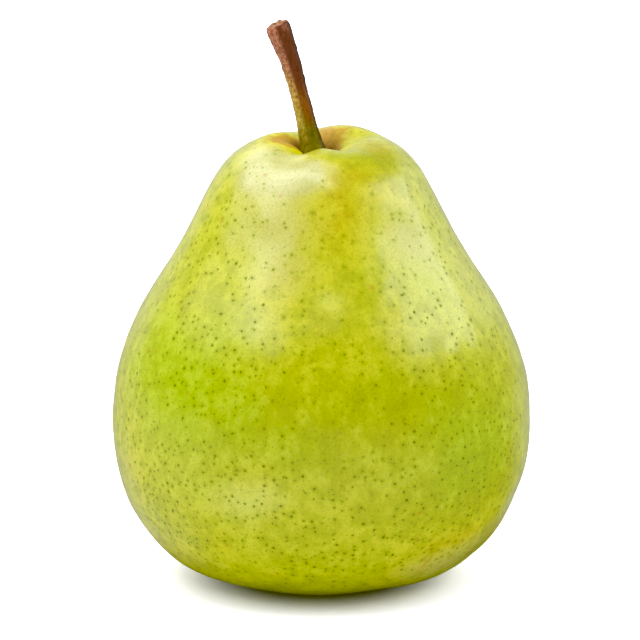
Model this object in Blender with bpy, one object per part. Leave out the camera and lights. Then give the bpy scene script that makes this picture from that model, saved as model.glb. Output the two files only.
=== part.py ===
"""A green winter pear, as picked: the fruit, its stem, and the dried calyx in the basin underneath.

Run it with blender --background --python part.py, or from Blender's text editor.

Metres, +Z up towards the stem. The origin is on the surface that the pear stands on, under the
middle of the fruit. -Y is the pear's front. The fruit stands on the lobes round its calyx basin,
and each lobe is pressed to a small flat where it touches.
"""

import math

import bmesh
import bpy
import numpy as np
from mathutils import Matrix, Vector

MM = 0.001
CLEARANCE = 0.3 * MM  # between one piece and the piece that it grows out of
SAME_PLACE = 0.001 * MM  # vertices closer than this are one vertex

# ---- The fruit -------------------------------------------------------------------------------

# Half of the fruit's outline, as (radius, height) in mm: from the floor of the calyx basin, out
# over the rim that it stands on, up the belly and the neck, over the shoulder, and down into the
# stem cavity.
OUTLINE_MM = (
    (0.0, 6.6),
    (3.6, 6.2),
    (6.6, 4.8),
    (9.4, 2.7),
    (12.2, 1.0),
    (15.6, 0.4),
    (20.8, 0.6),
    (27.2, 2.8),
    (32.6, 7.4),
    (36.9, 14.4),
    (39.4, 22.4),
    (40.0, 31.0),
    (38.6, 41.0),
    (34.8, 50.6),
    (29.5, 59.2),
    (24.9, 67.0),
    (21.7, 73.4),
    (18.2, 79.0),
    (13.6, 83.1),
    (9.2, 84.8),
    (6.1, 84.0),
    (4.2, 81.8),
    (3.0, 79.4),
    (0.0, 78.4),
)
ROWS_PER_SPAN = 2
COLUMNS = 72

# Lobes round the basin, and the hollows between them, as (direction in degrees, how far it reaches
# down in mm, half width in degrees). The front is at -90 degrees.
BASE_LOBES = (
    (-134.0, -0.40, 18.0),
    (-94.0, 0.50, 22.0),
    (-63.0, -0.35, 12.0),
    (-30.0, 0.90, 22.0),
    (40.0, 0.60, 24.0),
    (112.0, 0.60, 24.0),
    (184.0, 0.60, 22.0),
)
BASE_LOBE_RADIUS = 15.5 * MM
BASE_LOBE_SPREAD = 9.0 * MM
BASE_LOBE_LEVEL = 12.0 * MM  # no lobe is felt above about this height

# Furrows that run over the shoulder into the stem cavity, and lobes between them, given the same
# way, as depths.
SHOULDER_FURROWS = (
    (-140.0, -0.3, 18.0),
    (-114.0, 0.9, 13.0),
    (-86.0, -0.8, 15.0),
    (-52.0, 0.3, 18.0),
    (5.0, 1.1, 26.0),
    (108.0, 1.5, 30.0),
    (170.0, 0.5, 24.0),
)
FURROW_RADIUS = 7.8 * MM
FURROW_SPREAD = 5.5 * MM
FURROW_LEVEL = 70.0 * MM  # no furrow is felt below this height
FURROW_FADE = 10.0 * MM  # how far above that level each reaches its full depth
SHOULDER_TILT = 0.45 * MM  # how much higher the shoulder is on its high side, at its rim
SHOULDER_HIGH_SIDE = 62.0  # degrees
SHOULDER_TILT_REACH = 1.5  # the tilt stops growing at this many rim radii
FRONT_LIP_DROP = 2.5 * MM  # the cavity's front lip is lower than its back
FRONT_LIP_DIRECTION = -92.0  # degrees
FRONT_LIP_HALF_WIDTH = 75.0  # degrees
NECK_LEAN = 0.45 * MM  # how far the neck sits towards -X
NECK_LEAN_LEVEL = 82.0 * MM
NECK_LEAN_SPREAD = 24.0 * MM
OVALNESS = 0.006  # a fruit isn't quite round in plan
OVAL_DIRECTION = 35.0

# ---- The stem --------------------------------------------------------------------------------

# The stem's middle line, as (x, y, z, thickness) in mm, from inside the fruit to the knobbed end
# where it came off the branch.
STEM_LINE_MM = (
    (-0.6, 0.0, 76.2, 4.4),
    (-1.2, 0.0, 79.0, 4.6),
    (-1.9, 0.1, 82.4, 4.3),
    (-3.05, 0.1, 87.4, 3.6),
    (-4.35, 0.0, 92.6, 3.5),
    (-5.85, -0.2, 98.0, 3.75),
    (-7.38, -0.4, 102.4, 4.35),
    (-8.55, -0.6, 105.4, 4.6),
)
STEM_SIDES = 20
STEM_ROWS_PER_SPAN = 3
STEM_END_ROUNDING = 0.7 * MM
STEM_END_SEGMENTS = 3

# ---- The dried calyx -------------------------------------------------------------------------

SEPALS = 5
SEPAL_FIRST_DIRECTION = -70.0
SEPAL_LENGTH = 6.2 * MM
SEPAL_SHORTENING = 0.12  # the share of its length that it loses by curling
SEPAL_ROOT_WIDTH = 2.1 * MM
SEPAL_SWELL = 5.1 * MM  # how much wider it would get by its tip if it didn't come to a point
SEPAL_POINT_POWER = 0.7  # a lower power keeps it wide for longer
SEPAL_TIP_WIDTH = 0.24 * MM
SEPAL_THICKNESS = 0.45 * MM
SEPAL_ROOT_RADIUS = 2.9 * MM
SEPAL_ROOT_HEIGHT = 5.7 * MM
SEPAL_TIP_HEIGHT = 2.4 * MM
SEPAL_DROOP_POWER = 1.35
SEPAL_SCOOP = 0.45 * MM  # how far its sides curl down past its middle
SEPAL_CELLS_ALONG = 6
SEPAL_CELLS_ACROSS = 4

STAMEN_COUNT = 10
STAMEN_DISC_RADIUS = 2.5 * MM
STAMEN_DISC_HOLE = 1.4 * MM
STAMEN_DISC_TOP = 6.1 * MM
STAMEN_DISC_THICKNESS = 0.7 * MM
STAMEN_LENGTH = 2.3 * MM
STAMEN_SPLAY = 0.5 * MM
STAMEN_TAPER = 0.6
STAMEN_FOOT_MARGIN = 0.09 * MM  # how much of its disc face stays round each filament's foot

# ---- Materials: colour, roughness ------------------------------------------------------------

SKIN = ((0.50, 0.56, 0.07), 0.38)
STEM_BARK = ((0.22, 0.11, 0.04), 0.62)
DRY_SEPAL = ((0.12, 0.075, 0.035), 0.85)
DRY_STAMEN = ((0.07, 0.045, 0.025), 0.9)


def clear_scene():
    for thing in list(bpy.data.objects):
        bpy.data.objects.remove(thing)


def plain_material(name, look):
    colour, roughness = look
    material = bpy.data.materials.new(name)
    material.use_nodes = True
    shader = material.node_tree.nodes["Principled BSDF"]
    shader.inputs["Base Color"].default_value = (*colour, 1.0)
    shader.inputs["Roughness"].default_value = roughness
    shader.inputs["Metallic"].default_value = 0.0
    material.diffuse_color = (*colour, 1.0)
    return material


def add_object(name, mesh, material):
    mesh.shade_smooth()
    mesh.materials.append(material)
    thing = bpy.data.objects.new(name, mesh)
    bpy.context.scene.collection.objects.link(thing)
    return thing


def spline(points, per_span):
    """Positions on the natural cubic spline through the points, per_span of them to a span.

    Distance along the chords is its parameter. The second derivatives at the points come from
    the usual three-term equations, with none at the two ends.
    """
    points = np.asarray(points, float)
    span = np.linalg.norm(np.diff(points, axis=0), axis=1)
    count = len(points)
    system = np.eye(count)
    right = np.zeros_like(points)
    for i in range(1, count - 1):
        system[i, i - 1 : i + 2] = span[i - 1], 2 * (span[i - 1] + span[i]), span[i]
        slope_after = (points[i + 1] - points[i]) / span[i]
        slope_before = (points[i] - points[i - 1]) / span[i - 1]
        right[i] = 6 * (slope_after - slope_before)
    bend = np.linalg.solve(system, right)
    found = []
    for i in range(count - 1):
        for step in range(per_span):
            done = step / per_span * span[i]
            left = span[i] - done
            cubic = (bend[i] * left**3 + bend[i + 1] * done**3) / (6 * span[i])
            straight = (points[i] / span[i] - bend[i] * span[i] / 6) * left
            straight = straight + (points[i + 1] / span[i] - bend[i + 1] * span[i] / 6) * done
            found.append(cubic + straight)
    found.append(points[-1])
    return np.array(found)


def fruit_outline():
    """The half outline in metres. Its points are repeated across the axis to shape the poles."""
    half = np.array(OUTLINE_MM) * MM
    beyond = 3
    mirrored = half * (-1, 1)
    whole = np.concatenate([mirrored[beyond:0:-1], half, mirrored[-2 : -2 - beyond : -1]])
    line = spline(whole, ROWS_PER_SPAN)
    line = line[beyond * ROWS_PER_SPAN : len(line) - beyond * ROWS_PER_SPAN]
    line[[0, -1], 0] = 0.0
    return line


def angle_from(direction, angles):
    """How far each angle is from a direction given in degrees, from -180 to 180 degrees."""
    return (np.degrees(angles) - direction + 180.0) % 360.0 - 180.0


def waves(features, angles):
    """The sum of smooth humps round the fruit, each given as (direction, height in mm, width)."""
    total = np.zeros_like(angles)
    for direction, height, width in features:
        total += height * MM * np.exp(-((angle_from(direction, angles) / width) ** 2))
    return total


def fade(value, start, end):
    """0 at start, 1 at end, and a smooth step between them."""
    share = np.clip((value - start) / (end - start), 0.0, 1.0)
    return share * share * (3.0 - 2.0 * share)


def grown(points):
    """Turned points, moved to the shape that a fruit grows into.

    The lobes at its base and the furrows of its shoulder move a point up or down, its plan is
    slightly oval, its neck leans, and the flats where it stands are at height 0.
    """
    x, y, z = points.T
    radius = np.hypot(x, y)
    angle = np.arctan2(y, x)
    at_base_rim = np.exp(-(((radius - BASE_LOBE_RADIUS) / BASE_LOBE_SPREAD) ** 2))
    down = waves(BASE_LOBES, angle) * at_base_rim * fade(z, BASE_LOBE_LEVEL, 0.0)

    at_crest = np.exp(-(((radius - FURROW_RADIUS) / FURROW_SPREAD) ** 2))
    high = fade(z, FURROW_LEVEL, FURROW_LEVEL + FURROW_FADE)
    down += waves(SHOULDER_FURROWS, angle) * at_crest * high
    towards_high_side = np.cos(angle - math.radians(SHOULDER_HIGH_SIDE))
    reach = np.minimum(radius / FURROW_RADIUS, SHOULDER_TILT_REACH)
    down -= SHOULDER_TILT * towards_high_side * reach * high
    in_front = np.exp(-((angle_from(FRONT_LIP_DIRECTION, angle) / FRONT_LIP_HALF_WIDTH) ** 2))
    down += FRONT_LIP_DROP * in_front * at_crest * high

    oval = 1.0 + OVALNESS * np.cos(2.0 * (angle - math.radians(OVAL_DIRECTION)))
    lean = NECK_LEAN * np.exp(-(((z - NECK_LEAN_LEVEL) / NECK_LEAN_SPREAD) ** 2))
    return np.stack([x * oval - lean, y * oval, np.maximum(z - down, 0.0)], axis=1)


def centred(points):
    """The points moved sideways, so that the middle of their box is over the origin."""
    middle = (points.min(axis=0) + points.max(axis=0)) / 2
    return points - (middle[0], middle[1], 0.0)


def make_fruit(material):
    """The outline spun once round, shaped as grown, with the stem's root cut out of it."""
    mesh = bmesh.new()
    rows = [mesh.verts.new((r, 0.0, z)) for r, z in fruit_outline()]
    edges = [mesh.edges.new(pair) for pair in zip(rows, rows[1:])]
    bmesh.ops.spin(
        mesh,
        geom=rows + edges,
        axis=(0.0, 0.0, 1.0),
        cent=(0.0, 0.0, 0.0),
        angle=2.0 * math.pi,
        steps=COLUMNS,
    )
    bmesh.ops.remove_doubles(mesh, verts=mesh.verts, dist=SAME_PLACE)
    points = centred(grown(np.array([v.co for v in mesh.verts])))
    for vertex, point in zip(mesh.verts, points):
        vertex.co = point
    bmesh.ops.recalc_face_normals(mesh, faces=mesh.faces)
    data = bpy.data.meshes.new("fruit_body")
    mesh.to_mesh(data)
    mesh.free()
    fruit = add_object("fruit_body", data, material)
    cutter = add_object("stem_root_cutter", stem_mesh("stem_root_cutter", CLEARANCE), material)
    cutter.hide_render = True
    cutter.display_type = "WIRE"
    cut = fruit.modifiers.new("stem_root", "BOOLEAN")
    cut.operation = "DIFFERENCE"
    cut.object = cutter
    return fruit


def stem_rings(grow):
    """The middle, radius and direction of each ring of the stem, thicker all round by grow."""
    line = spline(np.array(STEM_LINE_MM) * MM, STEM_ROWS_PER_SPAN)
    middle = line[:, :3]
    radius = line[:, 3] / 2 + grow
    ahead = np.gradient(middle, axis=0)
    ahead /= np.linalg.norm(ahead, axis=1)[:, None]
    middle[0] -= ahead[0] * grow
    middle[-1] += ahead[-1] * grow
    return middle, radius, ahead


def stem_mesh(name, grow=0.0):
    """A tube of rings round the stem's middle line, closed and rounded at both ends."""
    middle, radius, ahead = stem_rings(grow)
    side = np.cross(ahead, (0.0, 1.0, 0.0))
    side /= np.linalg.norm(side, axis=1)[:, None]
    other = np.cross(ahead, side)
    turn = np.linspace(0.0, 2.0 * math.pi, STEM_SIDES, endpoint=False)
    mesh = bmesh.new()
    loops = []
    for centre, r, a, b in zip(middle, radius, side, other):
        ring = centre + r * (np.outer(np.cos(turn), a) + np.outer(np.sin(turn), b))
        loops.append([mesh.verts.new(p) for p in ring])
    for lower, upper in zip(loops, loops[1:]):
        for i in range(STEM_SIDES):
            j = (i + 1) % STEM_SIDES
            mesh.faces.new((lower[i], lower[j], upper[j], upper[i]))
    ends = [mesh.faces.new(loops[0]), mesh.faces.new(loops[-1])]
    edges = list({edge for face in ends for edge in face.edges})
    bmesh.ops.bevel(
        mesh,
        geom=edges,
        offset=STEM_END_ROUNDING,
        segments=STEM_END_SEGMENTS,
        profile=0.5,
        affect="EDGES",
    )
    bmesh.ops.recalc_face_normals(mesh, faces=mesh.faces)
    data = bpy.data.meshes.new(name)
    mesh.to_mesh(data)
    mesh.free()
    return data


def sepal_point(along, across):
    """A place on a sepal that points along +X.

    Along runs from 0 at its root to 1 at its tip, and across from -1 to 1. The sepal widens from
    its root, comes to a point, and curls down to its tip.
    """
    width = (SEPAL_ROOT_WIDTH + SEPAL_SWELL * along) * (1.0 - along) ** SEPAL_POINT_POWER
    width = max(width, SEPAL_TIP_WIDTH)
    reach = SEPAL_LENGTH * along * (1.0 - SEPAL_SHORTENING * along)
    droop = (SEPAL_ROOT_HEIGHT - SEPAL_TIP_HEIGHT) * along**SEPAL_DROOP_POWER
    scoop = SEPAL_SCOOP * across**2 * (1.0 - along)
    return Vector((SEPAL_ROOT_RADIUS + reach, width / 2 * across, SEPAL_ROOT_HEIGHT - droop - scoop))


def make_sepal(number, material):
    """One dried sepal: a curved pointed sheet, given its thickness by a Solidify modifier."""
    mesh = bmesh.new()
    bmesh.ops.create_grid(
        mesh, x_segments=SEPAL_CELLS_ALONG, y_segments=SEPAL_CELLS_ACROSS, size=0.5
    )
    for vertex in mesh.verts:
        vertex.co = sepal_point(vertex.co.x + 0.5, vertex.co.y * 2.0)
    bmesh.ops.recalc_face_normals(mesh, faces=mesh.faces)
    data = bpy.data.meshes.new(f"sepal_{number}")
    mesh.to_mesh(data)
    mesh.free()
    sepal = add_object(f"sepal_{number}", data, material)
    turn = SEPAL_FIRST_DIRECTION + 360.0 / SEPALS * (number - 1)
    sepal.rotation_euler.z = math.radians(turn)
    thick = sepal.modifiers.new("thickness", "SOLIDIFY")
    thick.thickness = SEPAL_THICKNESS
    thick.offset = 0.0
    return sepal


def make_stamens(material):
    """The withered stamens: a small ring with one tapered filament drawn down from each face."""
    mesh = bmesh.new()
    corners = 2 * STAMEN_COUNT
    inner, outer = [], []
    for i in range(corners):
        angle = 2.0 * math.pi * i / corners
        spoke = Vector((math.cos(angle), math.sin(angle), 0.0))
        foot = Vector((0.0, 0.0, STAMEN_DISC_TOP - STAMEN_DISC_THICKNESS))
        inner.append(mesh.verts.new(spoke * STAMEN_DISC_HOLE + foot))
        outer.append(mesh.verts.new(spoke * STAMEN_DISC_RADIUS + foot))
    under = []
    for i in range(corners):
        j = (i + 1) % corners
        under.append(mesh.faces.new((inner[i], inner[j], outer[j], outer[i])))
    lifted = bmesh.ops.extrude_face_region(mesh, geom=under, use_keep_orig=True)["geom"]
    top = [v for v in lifted if isinstance(v, bmesh.types.BMVert)]
    bmesh.ops.translate(mesh, verts=top, vec=(0.0, 0.0, STAMEN_DISC_THICKNESS))
    rooted = under[::2]
    bmesh.ops.inset_individual(mesh, faces=rooted, thickness=STAMEN_FOOT_MARGIN)
    for face in bmesh.ops.extrude_discrete_faces(mesh, faces=rooted)["faces"]:
        middle = face.calc_center_median()
        outwards = Vector((middle.x, middle.y, 0.0)).normalized()
        travel = outwards * STAMEN_SPLAY - Vector((0.0, 0.0, STAMEN_LENGTH))
        bmesh.ops.scale(
            mesh, verts=face.verts, vec=(STAMEN_TAPER,) * 3, space=Matrix.Translation(-middle)
        )
        bmesh.ops.translate(mesh, verts=face.verts, vec=travel)
    bmesh.ops.recalc_face_normals(mesh, faces=mesh.faces)
    data = bpy.data.meshes.new("stamen_tuft")
    mesh.to_mesh(data)
    mesh.free()
    return add_object("stamen_tuft", data, material)


def main():
    clear_scene()
    make_fruit(plain_material("skin", SKIN))
    add_object("stem", stem_mesh("stem"), plain_material("stem_bark", STEM_BARK))
    dry_sepal = plain_material("dry_sepal", DRY_SEPAL)
    for number in range(1, SEPALS + 1):
        make_sepal(number, dry_sepal)
    make_stamens(plain_material("dry_stamen", DRY_STAMEN))


main()
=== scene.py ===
"""The looks of a green winter pear, laid out as a Blender add-on and run as a script.

Every length is in metres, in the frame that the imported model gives: +Z up, the origin on the surface
under the middle of the fruit, -Y its front. Directions round the fruit are in degrees from +X, so the
front is at -90.
"""

import math

import bpy
import numpy as np
from bpy.props import FloatProperty, FloatVectorProperty, PointerProperty
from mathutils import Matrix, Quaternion, Vector


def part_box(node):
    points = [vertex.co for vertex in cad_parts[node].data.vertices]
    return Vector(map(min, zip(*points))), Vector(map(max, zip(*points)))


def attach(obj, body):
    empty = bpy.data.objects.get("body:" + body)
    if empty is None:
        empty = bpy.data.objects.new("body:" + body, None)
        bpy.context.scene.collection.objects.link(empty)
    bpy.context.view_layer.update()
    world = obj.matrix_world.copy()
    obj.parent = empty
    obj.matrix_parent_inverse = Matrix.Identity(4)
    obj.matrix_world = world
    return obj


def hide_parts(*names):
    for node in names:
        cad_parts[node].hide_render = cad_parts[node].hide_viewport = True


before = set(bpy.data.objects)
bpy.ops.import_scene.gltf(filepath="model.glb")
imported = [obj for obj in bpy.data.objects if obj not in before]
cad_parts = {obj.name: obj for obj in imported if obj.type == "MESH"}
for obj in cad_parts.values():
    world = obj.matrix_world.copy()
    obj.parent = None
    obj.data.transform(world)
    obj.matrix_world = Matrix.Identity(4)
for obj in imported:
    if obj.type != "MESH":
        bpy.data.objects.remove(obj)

bl_info = {
    "name": "Winter Pear",
    "version": (1, 0, 0),
    "blender": (4, 5, 0),
    "location": "3D View > Sidebar > Pear",
    "description": "Builds a green pear with its stem, calyx and a plain studio",
    "category": "Add Mesh",
}

MM = 0.001
TURN = 2.0 * math.pi

# ---- Where things are, from the frame ------------------------------------------------------------

FRUIT_MIDDLE = np.mean(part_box("fruit_body"), axis=0)
STEM_LOW = np.array(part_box("stem")[0])

# ---- The fruit's form ----------------------------------------------------------------------------

# Half of the outline, as (radius, height) in mm, from the floor of the calyx basin to the floor of
# the stem cavity.
OUTLINE_MM = (
    (0.0, 6.6),
    (3.6, 6.2),
    (6.6, 4.8),
    (9.4, 2.7),
    (12.2, 1.0),
    (15.6, 0.4),
    (20.8, 0.6),
    (27.2, 2.8),
    (32.6, 7.4),
    (36.9, 14.4),
    (39.4, 22.4),
    (40.0, 31.0),
    (38.6, 41.0),
    (34.8, 50.6),
    (29.5, 59.2),
    (24.9, 67.0),
    (21.7, 73.4),
    (18.2, 79.0),
    (13.6, 83.1),
    (9.2, 84.8),
    (6.1, 84.0),
    (4.2, 81.8),
    (3.0, 79.4),
    (0.0, 78.4),
)

# Lobes and hollows round the basin: direction, how far down in mm, half width in degrees.
BASE_LOBES = (
    (-134.0, -0.40, 18.0),
    (-94.0, 0.50, 22.0),
    (-63.0, -0.35, 12.0),
    (-30.0, 0.90, 22.0),
    (40.0, 0.60, 24.0),
    (112.0, 0.60, 24.0),
    (184.0, 0.60, 22.0),
)
BASE_LOBE_RADIUS = 15.5 * MM
BASE_LOBE_SPREAD = 9.0 * MM
BASE_LOBE_LEVEL = 12.0 * MM

# Furrows over the shoulder: direction, depth in mm, half width in degrees.
SHOULDER_FURROWS = (
    (-140.0, -0.3, 18.0),
    (-114.0, 0.9, 13.0),
    (-86.0, -0.8, 15.0),
    (-52.0, 0.3, 18.0),
    (5.0, 1.1, 26.0),
    (108.0, 1.5, 30.0),
    (170.0, 0.5, 24.0),
)
FURROW_RADIUS = 7.8 * MM
FURROW_SPREAD = 5.5 * MM
FURROW_LEVEL = 70.0 * MM
FURROW_FADE = 10.0 * MM
SHOULDER_TILT = 0.45 * MM
SHOULDER_HIGH_SIDE = 62.0
SHOULDER_TILT_REACH = 1.5
FRONT_LIP_DROP = 2.5 * MM
FRONT_LIP_DIRECTION = -92.0
FRONT_LIP_HALF_WIDTH = 75.0
NECK_LEAN = 0.45 * MM
NECK_LEAN_LEVEL = 82.0 * MM
NECK_LEAN_SPREAD = 24.0 * MM
OVALNESS = 0.006
OVAL_DIRECTION = 35.0
OUTLINE_SAMPLES = 12001

# ---- The stem's form -----------------------------------------------------------------------------

# Its middle line, as (x, y, z, thickness) in mm, from its root to its knobbed end.
STEM_LINE_MM = (
    (-0.6, 0.0, 76.2, 4.4),
    (-1.2, 0.0, 79.0, 4.6),
    (-1.9, 0.1, 82.4, 4.3),
    (-3.05, 0.1, 87.4, 3.6),
    (-4.35, 0.0, 92.6, 3.5),
    (-5.85, -0.2, 98.0, 3.75),
    (-7.38, -0.4, 102.4, 4.35),
    (-8.55, -0.6, 105.4, 4.6),
)
STEM_SAMPLES = 2001


# ---- Shared shapes -------------------------------------------------------------------------------


def natural_spline(points, where):
    """Places on the natural cubic spline through the points, with chord length as its parameter.

    Each span is the cubic that meets its neighbours with the same slope and bend, and the bend is
    zero at both ends. Where is an array of shares of the whole length, from 0 to 1.
    """
    span = np.linalg.norm(np.diff(points, axis=0), axis=1)
    knot = np.concatenate([[0.0], np.cumsum(span)])
    inner = np.arange(1, len(points) - 1)
    system = np.eye(len(points))
    system[inner, inner - 1] = span[:-1]
    system[inner, inner] = 2.0 * (span[:-1] + span[1:])
    system[inner, inner + 1] = span[1:]
    slope = np.diff(points, axis=0) / span[:, None]
    right = np.zeros_like(points)
    right[1:-1] = 6.0 * np.diff(slope, axis=0)
    bend = np.linalg.solve(system, right)
    at = np.asarray(where) * knot[-1]
    i = np.clip(np.searchsorted(knot, at, side="right") - 1, 0, len(span) - 1)
    done, left, long = (v[:, None] for v in (at - knot[i], knot[i + 1] - at, span[i]))
    cubic = (bend[i] * left**3 + bend[i + 1] * done**3) / (6.0 * long)
    start = points[i] / long - bend[i] * long / 6.0
    end = points[i + 1] / long - bend[i + 1] * long / 6.0
    return cubic + start * left + end * done


def reached(line):
    """How far along a polyline each of its points is."""
    return np.concatenate([[0.0], np.cumsum(np.linalg.norm(np.diff(line, axis=0), axis=1))])


def even_places(line, count):
    """The shares of its length at which a polyline is cut into equal pieces."""
    length = reached(line)
    return np.interp(np.linspace(0.0, length[-1], count), length, np.linspace(0.0, 1.0, len(line)))


def angle_from(direction, angles):
    """How far each angle in radians is from a direction in degrees, from -180 to 180 degrees."""
    return (np.degrees(angles) - direction + 180.0) % 360.0 - 180.0


def fade(value, start, end):
    """0 at start, 1 at end, and a smooth step between them."""
    share = np.clip((value - start) / (end - start), 0.0, 1.0)
    return share * share * (3.0 - 2.0 * share)


def bell(value, middle, width):
    """A Gaussian hump: 1 at its middle, and 1/e at one width to either side."""
    return np.exp(-(((value - middle) / width) ** 2))


def humps(features, angles):
    """The sum of smooth humps round an axis, each given as (direction, height in mm, half width)."""
    direction, height, width = (np.array(column) for column in zip(*features))
    away = angle_from(direction, angles[..., None])
    return (height * MM * bell(away, 0.0, width)).sum(axis=-1)


def round_turn(count):
    """This many angles in radians, evenly spaced round a whole turn."""
    return np.linspace(0.0, TURN, count, endpoint=False)


def unit(vectors):
    """The vectors, each divided by its own length."""
    return vectors / np.linalg.norm(vectors, axis=-1)[..., None]


def ripples(places, layers):
    """Smooth unevenness in space, in metres, from layers of (wavelength, height, count, seed) in mm.

    A layer is the sum of a number of sine waves that run in random directions with random phases,
    and with wavelengths up to a third shorter or longer than the one given.
    """
    total = 0.0
    for wavelength, height, count, seed in layers:
        random = np.random.default_rng(seed)
        way = unit(random.normal(size=(count, 3)))
        way *= TURN / (wavelength * MM * random.uniform(0.67, 1.33, (count, 1)))
        phase = random.uniform(0.0, TURN, count)
        waves = np.sin(places @ way.T + phase).sum(axis=-1) * math.sqrt(2.0 / count)
        total = total + height * MM * waves
    return total


def corrugated(angle, waves):
    """The sum of waves round an axis, each as (number of crests, height, phase in radians)."""
    return sum(height * np.cos(crests * angle + phase) for crests, height, phase in waves)


def grid_faces(rows, columns, closed_round):
    """The corners of the four-sided faces of a grid whose vertices run along each row in turn."""
    last = columns if closed_round else columns - 1
    row, column = np.meshgrid(np.arange(rows - 1), np.arange(last), indexing="ij")
    beside = (column + 1) % columns
    a, b = row * columns + column, row * columns + beside
    return np.stack([a, b, b + columns, a + columns], axis=-1).reshape(-1, 4)


def cap_faces(rim, pole, flipped):
    """The corners of the triangles between a closed ring of vertices and one at its middle."""
    beside = np.roll(rim, -1)
    middle = np.full_like(rim, pole)
    return np.stack([beside, rim, middle] if flipped else [rim, beside, middle], axis=-1)


def add_mesh(name, points, quads, triangles=None):
    """A smooth mesh object at the origin from whole arrays of points and face corners."""
    corner_lists = [quads.reshape(-1)]
    sizes = [np.full(len(quads), 4)]
    if triangles is not None:
        corner_lists.append(triangles.reshape(-1))
        sizes.append(np.full(len(triangles), 3))
    corners, sizes = np.concatenate(corner_lists), np.concatenate(sizes)
    mesh = bpy.data.meshes.new(name)
    mesh.vertices.add(len(points))
    mesh.vertices.foreach_set("co", np.ascontiguousarray(points, np.float32).reshape(-1))
    mesh.loops.add(len(corners))
    mesh.loops.foreach_set("vertex_index", corners.astype(np.int32))
    mesh.polygons.add(len(sizes))
    mesh.polygons.foreach_set("loop_start", (np.cumsum(sizes) - sizes).astype(np.int32))
    mesh.update(calc_edges=True)
    mesh.validate()
    mesh.shade_smooth()
    piece = bpy.data.objects.new(name, mesh)
    bpy.context.scene.collection.objects.link(piece)
    return piece


def add_layer(mesh, name, values):
    """Keeps one number for each vertex under a name, for the material to read."""
    mesh.attributes.new(name, "FLOAT", "POINT").data.foreach_set(
        "value", np.ascontiguousarray(values, np.float32).reshape(-1)
    )


def add_uv(mesh, corners):
    """The mesh's own UV map, from one place for each face corner."""
    mesh.uv_layers.new(name="OFBake").data.foreach_set(
        "uv", np.ascontiguousarray(corners, np.float32).reshape(-1)
    )


def closed_tubes(rings):
    """The faces of tubes given as (tube, ring, place in the ring) points, each closed at its ends.

    Every tube's points are followed by one more at the middle of its first ring and one at the
    middle of its last. Gives the points, the four-sided faces and the triangles of all the tubes.
    """
    tubes, rows, columns, _ = rings.shape
    ends = np.stack([rings[:, 0].mean(axis=1), rings[:, -1].mean(axis=1)], axis=1)
    points = np.concatenate([rings.reshape(tubes, -1, 3), ends], axis=1)
    start = np.arange(tubes)[:, None, None] * (rows * columns + 2)
    quads = grid_faces(rows, columns, True)
    first = np.arange(columns)
    last = first + (rows - 1) * columns
    triangles = np.concatenate(
        [
            cap_faces(first, rows * columns, True),
            cap_faces(last, rows * columns + 1, False),
        ]
    )
    return points.reshape(-1, 3), (quads + start).reshape(-1, 4), (triangles + start).reshape(-1, 3)


def ways_along(middle, another):
    """The way ahead along middle lines, and two ways square to it and to each other.

    The first of the two is also square to another way, and the second makes up the set of three.
    """
    ahead = unit(np.gradient(middle, axis=-2))
    side = unit(np.cross(ahead, another))
    return ahead, side, np.cross(ahead, side)


def carried(middle, side, other, along_side, along_other):
    """Points set out from a middle line: so far along one cross direction, so far along the other."""
    return (
        middle[..., None, :]
        + side[..., None, :] * along_side[..., None]
        + other[..., None, :] * along_other[..., None]
    )


def whole_outline():
    """The outline from the middle of the basin to the middle of the stem's cavity, finely cut.

    It is the spline through its points and three more beyond each end, mirrored across the axis,
    so that it crosses the axis square. Also gives how far along it each point is.
    """
    half = np.array(OUTLINE_MM) * MM
    low, high = half[3:0:-1] * (-1.0, 1.0), half[-2:-5:-1] * (-1.0, 1.0)
    line = natural_spline(np.concatenate([low, half, high]), np.linspace(0.0, 1.0, OUTLINE_SAMPLES))
    right = np.flatnonzero(line[:, 0] > 0.0)
    line = line[right[0] : right[-1] + 1]
    return line, reached(line)


def stem_middle(height):
    """The place and thickness of the stem's middle line at each height, as (x, y, thickness)."""
    line = natural_spline(np.array(STEM_LINE_MM) * MM, np.linspace(0.0, 1.0, STEM_SAMPLES))
    return np.stack([np.interp(height, line[:, 2], line[:, i]) for i in (0, 1, 3)], axis=-1)


def grown(points):
    """Points of the turned outline, moved to where they grew.

    Lobes and hollows move the rim of the basin up or down, furrows, a tilt and a dip in front do
    the same to the shoulder, the section is drawn out a little one way, the neck leans to the left,
    and nothing goes below the surface that it stands on.
    """
    x, y, z = points[..., 0], points[..., 1], points[..., 2]
    radius, angle = np.hypot(x, y), np.arctan2(y, x)
    at_base_rim = bell(radius, BASE_LOBE_RADIUS, BASE_LOBE_SPREAD)
    down = humps(BASE_LOBES, angle) * at_base_rim * fade(z, BASE_LOBE_LEVEL, 0.0)
    at_crest = bell(radius, FURROW_RADIUS, FURROW_SPREAD)
    high = fade(z, FURROW_LEVEL, FURROW_LEVEL + FURROW_FADE)
    down += humps(SHOULDER_FURROWS, angle) * at_crest * high
    towards_high_side = np.cos(angle - math.radians(SHOULDER_HIGH_SIDE))
    reach = np.minimum(radius / FURROW_RADIUS, SHOULDER_TILT_REACH)
    down -= SHOULDER_TILT * towards_high_side * reach * high
    in_front = bell(angle_from(FRONT_LIP_DIRECTION, angle), 0.0, FRONT_LIP_HALF_WIDTH)
    down += FRONT_LIP_DROP * in_front * at_crest * high
    oval = 1.0 + OVALNESS * np.cos(2.0 * (angle - math.radians(OVAL_DIRECTION)))
    lean = NECK_LEAN * bell(z, NECK_LEAN_LEVEL, NECK_LEAN_SPREAD)
    return np.stack([x * oval - lean, y * oval, np.maximum(z - down, 0.0)], axis=-1)


# ---- The fruit -----------------------------------------------------------------------------------

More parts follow.
